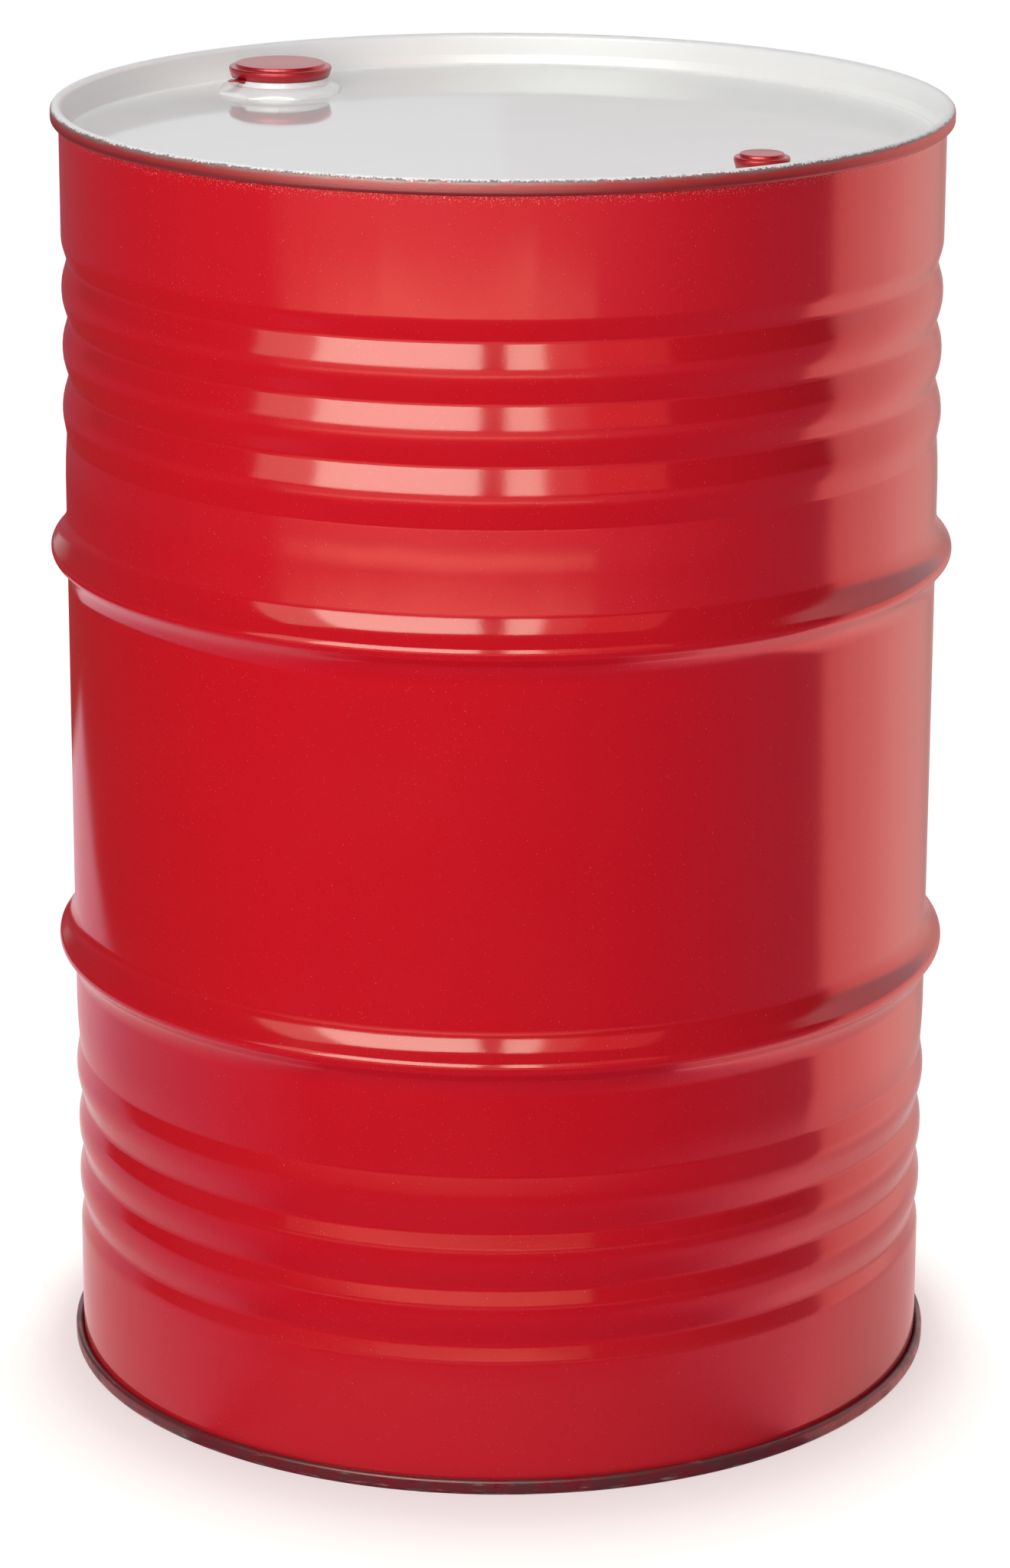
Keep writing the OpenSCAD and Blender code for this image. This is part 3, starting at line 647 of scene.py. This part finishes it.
for size, bung in BUNGS.items():
    plug = bmesh.new()
    stem_r = bung["pitch_r"] - THREAD_PLAY
    cup_r = stem_r - PLUG_T
    cup_floor = PLUG_FOOT + PLUG_T
    foot_loop, neck_loop = thread(plug, bung, -THREAD_PLAY, PLUG_FOOT + CHAMFER, NECK_H - CHAMFER)
    loop = circle_of_edges(plug, stem_r, NECK_H - CHAMFER / 2, bung["steps"])
    bmesh.ops.bridge_loops(plug, edges=neck_loop + loop)
    for radius, height in (
            (stem_r, RING_TOP),
            (bung["neck_r"] - RIM_ROUND / 2, RING_TOP),
            (bung["neck_r"], RING_TOP + RIM_ROUND / 2),
            (bung["neck_r"], PLUG_TOP - RIM_ROUND),
            (bung["neck_r"] - RIM_ROUND * 0.3, PLUG_TOP - RIM_ROUND * 0.3),
            (bung["neck_r"] - RIM_ROUND, PLUG_TOP),
            (cup_r + 2 * RIM_ROUND, PLUG_TOP),
            (cup_r + RIM_ROUND * 0.6, PLUG_TOP - RIM_ROUND * 0.6),
            (cup_r, PLUG_TOP - 2 * RIM_ROUND),
            (cup_r, cup_floor + 3 * RIM_ROUND),
            (cup_r - RIM_ROUND, cup_floor + RIM_ROUND),
            (cup_r - 3 * RIM_ROUND, cup_floor)):
        loop = draw_out(plug, loop, round_r(radius), level_at(height))
    bmesh.ops.edgeloop_fill(plug, edges=loop)
    loop = circle_of_edges(plug, bung["pitch_r"] - bung["pitch"] / 2, PLUG_FOOT, bung["steps"])
    bmesh.ops.bridge_loops(plug, edges=foot_loop + loop)
    bmesh.ops.edgeloop_fill(plug, edges=loop)
    lug_low = cup_floor - PLUG_T / 2
    lug_high = PLUG_TOP - LUG_DROP
    inner = cup_r * (1 - LUG_REACH)
    outer = cup_r + PLUG_T / 2
    for i in range(LUGS):
        lug = bmesh.ops.create_cube(plug, size=1)["verts"]
        bmesh.ops.scale(plug, vec=(outer - inner, cup_r * LUG_REACH, lug_high - lug_low), verts=lug)
        bmesh.ops.translate(plug, vec=((inner + outer) / 2, 0, (lug_low + lug_high) / 2), verts=lug)
        bmesh.ops.rotate(plug, cent=(0, 0, 0), matrix=Matrix.Rotation(i * 2 * pi / LUGS, 3, "Z"),
                         verts=lug)
        edges = list(dict.fromkeys(e for v in lug for e in v.link_edges))
        bmesh.ops.bevel(plug, geom=edges, affect="EDGES", offset=LUG_ROUND, segments=3, profile=0.5,
                        material=-1)
    to_its_place(plug, bung)
    piece = smooth_piece(size + "_threaded_plug", plug, zinc, sharp=radians(35))
    stands_for(piece, size + "_plug", size + "_plug_body")

    # The ring: a square section with soft corners, drawn from the middle of its inner side
    gasket = bmesh.new()
    low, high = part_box(size + "_plug_ring")
    inner = stem_r + RING_PLAY
    outer = bung["neck_r"]
    base = low.z - PANEL_TOP
    top = high.z - PANEL_TOP
    middle_z = (base + top) / 2
    bent_wire(gasket, [(inner, middle_z, 0), (inner, top, RING_ROUND), (outer, top, RING_ROUND),
                       (outer, base, RING_ROUND), (inner, base, RING_ROUND), (inner, middle_z, 0)],
              step=radians(25))
    turn_round(gasket, bung["steps"])
    to_its_place(gasket, bung)
    piece = smooth_piece(size + "_rubber_ring", gasket, rubber)
    stands_for(piece, size + "_plug_ring", size + "_plug_ring_body")

# ---- Cap seals ----
# Thin tinplate caps pressed over the bungs and lacquered red, with a raised disc, a rolled bead
# and a skirt drawn in under the collar's lip. A pull tab stands out from an ear on each skirt.

SEAL_T = 0.3 * MM
LINER_GAP = 0.3 * MM
LINER_T = 0.5 * MM
DISC_RISE = 2 * MM
BEAD_R = 1.2 * MM
SKIRT_GAP = 0.3 * MM
SKIRT_FOOT = 10 * MM
TAB_W = 9 * MM
TAB_L = 8 * MM
TAB_T = 0.6 * MM
TAB_GAP = 0.3 * MM
TAB_ROUND = 0.18 * MM
SHOULDER = PLUG_TOP + LINER_GAP + LINER_T + SEAL_T / 2
DISC = SHOULDER + DISC_RISE
# How far the lip under the ear hangs down
EAR_DROP = 2.4 * MM

# Red lacquer on tinplate: a clear, deep red over bright metal, which softens what it mirrors, with
# the rolling lines of the tinplate under it, about 0.5 mm apart.
LACQUER_DEEP = "#A0111F"
LACQUER_RED = "#BC1A26"
red_lacquer, tree = new_finish("red_lacquered_tinplate")
place = add(tree, "TexCoord").outputs["Object"]
rolled = add(tree, "Mapping", {"Vector": place, "Rotation": (0, 0, 0.7), "Scale": (1, 22, 1)})
rolling = add(tree, "TexNoise", {"Vector": rolled, "Scale": 90, "Detail": 2})
tone = add(tree, "ValToRGB", {0: rolling})
tone.color_ramp.elements[0].color = linear(LACQUER_DEEP)
tone.color_ramp.elements[1].color = linear(LACQUER_RED)
lines = add(tree, "Bump", {"Height": rolling, "Distance": 0.01 * MM})
lacquer = add(tree, "BsdfPrincipled", {"Base Color": tone, "Metallic": 0.3, "Roughness": 0.32,
                                       "Coat Weight": 0.2, "Coat Roughness": 0.1,
                                       "Normal": lines})
add(tree, "OutputMaterial", {"Surface": lacquer})

# Foamed white plastisol: soft and matt, with cells of about 0.4 mm
LINER_WHITE = "#EEEDE8"
LINER_SHADE = "#DAD8D0"
liner_foam, tree = new_finish("white_foamed_liner")
place = add(tree, "TexCoord").outputs["Object"]
cells = add(tree, "TexVoronoi", {"Vector": place, "Scale": 2500})
tone = add(tree, "ValToRGB", {0: cells.outputs["Distance"]})
tone.color_ramp.elements[0].color = linear(LINER_SHADE)
tone.color_ramp.elements[1].color = linear(LINER_WHITE)
foam_bumps = add(tree, "Bump", {"Height": cells.outputs["Distance"], "Distance": 0.05 * MM})
foam = add(tree, "BsdfPrincipled", {"Base Color": tone, "Roughness": 0.8, "Normal": foam_bumps})
add(tree, "OutputMaterial", {"Surface": foam})

for size, bung in BUNGS.items():
    disc_r = bung["collar_r"] - bung["disc_in"]
    foot_r = bung["collar_r"] + SKIRT_GAP + SEAL_T / 2
    shoulder_r = bung["collar_r"] + bung["bead_out"] - SEAL_T / 2
    hinge_r = bung["collar_r"] + bung["bead_out"] + TAB_GAP + TAB_T / 2

    cap = bmesh.new()
    bent_wire(cap, [(0, DISC, 0), (disc_r, DISC, BEAD_R / 2), (disc_r + SEAL_T, SHOULDER, BEAD_R / 2),
                    (shoulder_r, SHOULDER, BEAD_R), (shoulder_r, SHOULDER - 2 * BEAD_R, BEAD_R),
                    (foot_r, SKIRT_FOOT, 0)], step=radians(15))
    turn_round(cap, bung["steps"])
    # The ear: a strip from the foot of the skirt out to the tab, with a lip hanging from the skirt
    strip = bmesh.ops.create_grid(cap, x_segments=4, y_segments=8, size=0.5)["verts"]
    for v in strip:
        angle = bung["tab"] + v.co.y * TAB_W / foot_r
        r = foot_r + (v.co.x + 0.5) * (hinge_r - TAB_GAP / 2 - foot_r)
        v.co = (r * cos(angle), r * sin(angle), SKIRT_FOOT + TAB_T / 2)
    lip = bmesh.ops.create_grid(cap, x_segments=12, y_segments=4, size=0.5)["verts"]
    for v in lip:
        angle = bung["tab"] + v.co.x * TAB_W / foot_r
        full = (1 - min(1, abs(2 * v.co.x)) ** 4) ** 0.5
        hang = (v.co.y + 0.5) * EAR_DROP * full
        v.co = (foot_r * cos(angle), foot_r * sin(angle), SKIRT_FOOT + TAB_T / 2 - hang)
    bmesh.ops.remove_doubles(cap, verts=cap.verts, dist=0.001 * MM)
    bmesh.ops.translate(cap, vec=(bung["x"], 0, PANEL_TOP), verts=cap.verts)
    piece = smooth_piece(size + "_pressed_seal", cap, red_lacquer, sheet=SEAL_T, sharp=radians(60))
    stands_for(piece, size + "_cap_seal", size + "_seal_body")

    # The tab: a tongue with a round nose and a rolled edge
    tongue = bmesh.new()
    made = bmesh.ops.create_cube(tongue, size=1)["verts"]
    root_r = hinge_r + TAB_GAP / 2
    length = hinge_r + TAB_L - root_r
    bmesh.ops.scale(tongue, vec=(length, TAB_W, TAB_T), verts=made)
    bmesh.ops.translate(tongue, vec=(root_r + length / 2, 0, SKIRT_FOOT + TAB_T / 2), verts=made)
    nose = [e for e in tongue.edges if all(v.co.x > root_r + length / 2 for v in e.verts)
            and abs(e.verts[0].co.z - e.verts[1].co.z) > TAB_T / 2]
    bmesh.ops.bevel(tongue, geom=nose, affect="EDGES", offset=TAB_W / 2 - 0.05 * MM, segments=8,
                    profile=0.5, material=-1)
    rounds = [e for e in tongue.edges if e.calc_face_angle(0) > radians(40)]
    bmesh.ops.bevel(tongue, geom=rounds, affect="EDGES", offset=TAB_ROUND, segments=2, profile=0.5,
                    material=-1)
    bmesh.ops.rotate(tongue, cent=(0, 0, 0), matrix=Matrix.Rotation(bung["tab"], 3, "Z"),
                     verts=tongue.verts)
    to_its_place(tongue, bung)
    piece = smooth_piece(size + "_pull_tab", tongue, red_lacquer, sharp=radians(60))
    stands_for(piece, size + "_seal_tab", size + "_tab_body")
    finish_node(size + "_seal_liner", liner_foam)

# ---- Floor ----
# A sweep of white paper on the studio's floor. It is white to the camera and keeps the drum's
# shadow. In gloss the paper shows round the drum, reddened by it, with a white board on the right,
# a dim floor past the paper's edges, and light from the window on that floor further off.

AZIMUTH = radians(48.5)
PAPER_LEFT = -1.07
PAPER_BACK = 1.35
# The studio's floor past the paper's edges
GROUND = "#521D1C"
# How much brighter than their written colours the paper, the board and the room show in gloss
PAPER_LIGHT = 4.4


def bearing_of(tree, place, corner=0.0):
    """Bearing of a place from the camera's side of the drum: 0 to 1 from behind on the left,
    through 0.5 towards the camera, to behind on the right; and its parts, X to the right. A corner
    takes it from the corners of a square round the drum, which is near where the drum shows it."""
    turned = add(tree, "Mapping", {"Vector": place, "Rotation": (0, 0, -AZIMUTH)})
    parts = add(tree, "SeparateXYZ", {0: turned})
    held = add(tree, "Clamp", {"Value": parts.outputs["X"], "Min": -corner, "Max": corner})
    across = add(tree, "Math", {0: parts.outputs["X"], 1: held}, operation="SUBTRACT")
    toward = add(tree, "Math", {0: -corner, 1: parts.outputs["Y"]}, operation="SUBTRACT")
    turn = add(tree, "Math", {0: across, 1: toward}, operation="ARCTAN2")
    share = add(tree, "MapRange", {0: turn, 1: -pi, 2: pi, 3: 0.0, 4: 1.0})
    return share.outputs[0], parts.outputs


def ramp_round(tree, bearing, stops):
    """Colours by bearing, given in degrees from the camera's side, positive to the right"""
    ramp = add(tree, "ValToRGB", {0: bearing})
    ends = ramp.color_ramp.elements
    ends.remove(ends[1])
    for i, (degrees, colour) in enumerate(stops):
        stop = ends[0] if i == 0 else ends.new(0.5 + degrees / 360)
        stop.position = 0.5 + degrees / 360
        stop.color = linear(colour)
    return ramp.outputs[0]


def seen_straight(tree, ray):
    """1 for what the camera sees itself or through something clear, and 0 for the rest"""
    return add(tree, "Math", {0: ray.outputs["Is Camera Ray"], 1: ray.outputs["Is Transmission Ray"]},
               operation="MAXIMUM").outputs[0]


# The board on the right, as it shows to either side of the drum
BOARD = (
    (96, "#FC807E"), (104, "#FF8F8A"), (120, "#F2918C"), (130, "#DE8F88"), (144, "#B27A74"),
    (160, "#745754"), (180, "#604E4C"))

# White paper: matt, and in gloss the colours that it takes from the drum and the board. Near is up
# to 0.55 m from the drum's axis, and off is from 0.82 m.
floor_mesh = bmesh.new()
bmesh.ops.create_circle(floor_mesh, cap_ends=True, segments=96, radius=14)
floor_finish, tree = new_finish("white_paper")
ray = add(tree, "LightPath")
place = add(tree, "TexCoord").outputs["Object"]
bearing, parts = bearing_of(tree, place, 0.21)
distance = add(tree, "VectorMath", {0: place}, operation="LENGTH").outputs["Value"]
near = ramp_round(tree, bearing, (
    (-180, "#767676"), (-160, "#837171"), (-144, "#896769"), (-120, "#895F67"), (-96, "#835362"),
    (-80, "#6F495B"), (-60, "#5F3245"), (-40, "#47182A"), (0, "#502534"), (20, "#673747"),
    (40, "#914C5D"), (60, "#B45D6A"), (80, "#CA6976"), (96, "#DE767D"), (110, "#D77A7C"),
    (130, "#BF7675"), (150, "#946B69"), (170, "#675F5F")))
off = ramp_round(tree, bearing, (
    (-180, "#5F5F63"), (-160, "#83666A"), (-144, "#866771"), (-124, "#785969"), (-104, "#675162"),
    (-80, "#634355"), (-58, "#5F3043"), (-40, "#2E141F"), (0, "#2A141C"), (36, "#431F2A"),
    (60, "#5F303C"), (84, "#803C4A"), (92, "#8F4551")) + BOARD)
going = add(tree, "MapRange", {0: distance, 1: 0.55, 2: 0.82, 3: 0.0, 4: 1.0},
            interpolation_type="SMOOTHSTEP")
paper = add(tree, "Mix", {0: going, 6: near, 7: off}, data_type="RGBA")
left_edge = add(tree, "MapRange", {0: parts["X"], 1: PAPER_LEFT - 0.04, 2: PAPER_LEFT + 0.04, 3: 0.0,
                                   4: 1.0})
back_edge = add(tree, "MapRange", {0: parts["Y"], 1: PAPER_BACK - 0.05, 2: PAPER_BACK + 0.05, 3: 1.0,
                                   4: 0.0})
on_right = add(tree, "Math", {0: parts["X"], 1: 0.0}, operation="GREATER_THAN")
edges = add(tree, "Math", {0: left_edge, 1: back_edge}, operation="MULTIPLY")
kept = add(tree, "Math", {0: edges, 1: on_right}, operation="MAXIMUM")
# Light from the window lies on the floor in front, from about 2 m out
beam = ramp_round(tree, bearing, (
    (-100, "#2A2A30"), (-61, "#43393C"), (-57, "#7D5955"), (-40, "#9E6C67"), (-15, "#A9716E"),
    (5, "#A26363"), (24, "#99535B"), (44, "#833C45"), (62, "#6F3639"), (90, "#6F393E")))
far = add(tree, "MapRange", {0: distance, 1: 1.6, 2: 3.5, 3: 0.0, 4: 1.0},
          interpolation_type="SMOOTHSTEP")
lit = add(tree, "VectorMath", {0: beam, "Scale": far}, operation="SCALE")
edged = add(tree, "Mix", {0: kept, 6: linear(GROUND), 7: paper.outputs[2]}, data_type="RGBA")
shown = add(tree, "VectorMath", {0: edged.outputs[2], 1: lit}, operation="MAXIMUM")
in_gloss = add(tree, "Emission", {"Color": shown, "Strength": PAPER_LIGHT})
matt = add(tree, "BsdfDiffuse", {"Color": (0.85, 0.85, 0.85, 1)})
# To the camera the paper is dim and matt, so that it keeps the shadow, and glows up to white
shadowed = add(tree, "BsdfDiffuse", {"Color": (0.12, 0.12, 0.12, 1)})
# A shadow is painted into the paper's glow close round the foot of the drum, to 60 mm out, and to 170 mm
# in front
forward = add(tree, "Math", {0: parts["Y"], 1: distance}, operation="DIVIDE")
in_front = add(tree, "MapRange", {0: forward, 1: 0.0, 2: -1.0, 3: 0.06, 4: 0.17})
gap = add(tree, "Math", {0: distance, 1: 0.29}, operation="SUBTRACT")
close = add(tree, "Math", {0: gap, 1: in_front}, operation="DIVIDE")
shade = add(tree, "ValToRGB", {0: close})
shade.color_ramp.elements[0].color = linear("#DDCFCE")
shade.color_ramp.elements[1].color = (1, 1, 1, 1)
for where, colour in ((0.18, "#E6D9D7"), (0.31, "#F0E4E1"), (0.48, "#F7F1ED"), (0.75, "#FCFCFA")):
    shade.color_ramp.elements.new(where).color = linear(colour)
glow = add(tree, "Emission", {"Color": shade, "Strength": 1.0})
both = add(tree, "AddShader", {0: shadowed, 1: glow})
to_gloss = add(tree, "MixShader", {0: ray.outputs["Is Glossy Ray"], 1: matt, 2: in_gloss})
seen = add(tree, "MixShader", {0: seen_straight(tree, ray), 1: to_gloss, 2: both})
add(tree, "OutputMaterial", {"Surface": seen})
floor_piece = smooth_piece("floor", floor_mesh, floor_finish)

# ---- Walls of the studio ----
# The board on the right stands above the floor too, and is plain white higher up. The rest of the
# room is dim. The camera sees plain white all round.

# The room's own light on matt surfaces, slightly blue
ROOM_LIGHT = (0.082, 0.09, 0.103, 1)
world = bpy.data.worlds.new("studio")
bpy.context.scene.world = world
world.use_nodes = True
tree = world.node_tree
tree.nodes.clear()
ray = add(tree, "LightPath")
bearing, parts = bearing_of(tree, add(tree, "TexCoord").outputs["Generated"])
# The room low down and higher up; one fades into the other between 5 and 12 degrees of rise
low = ramp_round(tree, bearing, ((-180, "#766F6F"), (-158, "#747272"), (-146, "#262628"), (92, "#262628"))
                 + BOARD)
high = ramp_round(tree, bearing, (
    (-180, "#858586"), (-158, "#808182"), (-146, "#262628"), (92, "#262628"), (98, "#868686"),
    (180, "#858586")))
height = add(tree, "MapRange", {0: parts["Z"], 1: 0.08, 2: 0.2, 3: 0.0, 4: 1.0})
room = add(tree, "Mix", {0: height, 6: low, 7: high}, data_type="RGBA")
in_gloss = add(tree, "VectorMath", {0: room.outputs[2], "Scale": PAPER_LIGHT}, operation="SCALE")
by_gloss = add(tree, "Mix", {0: ray.outputs["Is Glossy Ray"], 6: ROOM_LIGHT,
                             7: in_gloss}, data_type="RGBA")
light = add(tree, "Mix", {0: seen_straight(tree, ray), 6: by_gloss.outputs[2], 7: (1, 1, 1, 1)},
            data_type="RGBA")
air = add(tree, "Background", {"Color": light.outputs[2]})
add(tree, "OutputWorld", {"Surface": air})

# ---- Lights ----
# A tall window ahead and to the left, in panes, and a low one under its sill, which show in gloss.
# A soft panel in the same place, one overhead and two behind light the drum without showing in
# its gloss.

back = Vector((sin(AZIMUTH), -cos(AZIMUTH), 0))
right = Vector((cos(AZIMUTH), sin(AZIMUTH), 0))


def studio(bearing, distance, height):
    """A place in the studio: its bearing from the camera's, positive to the right, and its distance"""
    a = radians(bearing)
    return distance * (cos(a) * back + sin(a) * right) + Vector((0, 0, height))


def lamp(name, place, aim, width, tall, radiance, colour=(1, 1, 1), in_gloss=True, in_matt=True):
    """A flat light of an even brightness, where 1 is white"""
    light = bpy.data.lights.new(name, "AREA")
    light.shape = "RECTANGLE"
    light.size, light.size_y = width, tall
    light.energy = radiance * pi * width * tall
    light.color = colour
    panel = bpy.data.objects.new(name, light)
    panel.location = place
    panel.rotation_euler = (aim - place).to_track_quat("-Z", "Y").to_euler()
    panel.visible_camera = False
    panel.visible_glossy = in_gloss
    panel.visible_diffuse = in_matt
    bpy.context.scene.collection.objects.link(panel)


WINDOW_DISTANCE = 1.95
WINDOW_FOOT = 0.67
WINDOW_HEAD = 2.15
# The low window fades out to both sides, and has the warm colour of the floor round it
SILL = 0.345
LOW_FOOT = 0.255
LOW_COLOUR = (1, 0.42, 0.27)
# Each pane: where it starts and ends in degrees from the camera's side, its foot and head, its
# brightness and its colour
for name, start, end, foot, head, radiance, colour in (
        ("left_pane", -61, -45, WINDOW_FOOT, WINDOW_HEAD, 2.1, (1, 0.85, 0.7)),
        ("wide_pane", -45, -5, WINDOW_FOOT, WINDOW_HEAD, 8.0, (0.96, 1, 0.84)),
        ("narrow_pane", 1, 10, WINDOW_FOOT, WINDOW_HEAD, 7.5, (1, 0.95, 0.78)),
        ("near_curtain", 10, 20, WINDOW_FOOT, WINDOW_HEAD, 2.2, (1, 0.36, 0.3)),
        ("curtain", 20, 40, WINDOW_FOOT, WINDOW_HEAD, 1.7, (1, 0.18, 0.14)),
        ("low_left_edge", -53, -45, LOW_FOOT, SILL, 1.2, LOW_COLOUR),
        ("low_left_side", -45, -37, LOW_FOOT, SILL, 2.2, LOW_COLOUR),
        ("low_left", -37, -29, LOW_FOOT, SILL, 3.0, LOW_COLOUR),
        ("low_middle", -29, 8, LOW_FOOT, SILL, 3.6, LOW_COLOUR),
        ("low_right", 8, 15, LOW_FOOT, SILL, 3.0, LOW_COLOUR),
        ("low_right_edge", 15, 22, LOW_FOOT, SILL, 2.2, LOW_COLOUR)):
    middle = (foot + head) / 2
    width = 2 * WINDOW_DISTANCE * tan(radians(end - start) / 2)
    lamp(name, studio((start + end) / 2, WINDOW_DISTANCE, middle), Vector((0, 0, middle)), width,
         head - foot, radiance, colour, in_matt=False)
# The soft square panels: the height that each is aimed at, its size and its brightness
for name, place, aim, across, radiance in (
        ("key", studio(-19, 2.2, 1.35), 0.5, 1.7, 5.0),
        ("overhead", studio(0, 0.1, 2.3), 0.85, 1.2, 1.4),
        ("back_right", studio(150, 2.4, 1.0), 0.5, 1.6, 2.5),
        ("back_left", studio(-140, 2.4, 1.0), 0.5, 1.6, 2.5)):
    lamp(name, place, Vector((0, 0, aim)), across, across, radiance, in_gloss=False)

# ---- Camera ----
# A long lens 3.3 m from the drum's axis, 1.4 m up and looking down at it. Distances are in metres,
# angles in degrees and the lens in millimetres.

CAMERA_DISTANCE = 3.3196
CAMERA_HEIGHT = 1.391
TILT = 16.813
PAN = -0.05
ROLL = 0.2
LENS = 118.43
view = bpy.data.cameras.new("camera")
view.sensor_width = 36
view.lens = LENS
camera = bpy.data.objects.new("camera", view)
camera.location = CAMERA_DISTANCE * back + Vector((0, 0, CAMERA_HEIGHT))
turned = (Matrix.Rotation(AZIMUTH, 4, "Z") @ Matrix.Rotation(radians(PAN), 4, "Z")
          @ Matrix.Rotation(radians(90 - TILT), 4, "X") @ Matrix.Rotation(radians(ROLL), 4, "Z"))
camera.rotation_euler = turned.to_euler()
bpy.context.scene.collection.objects.link(camera)
bpy.context.scene.camera = camera
bpy.context.scene.view_settings.view_transform = "Standard"
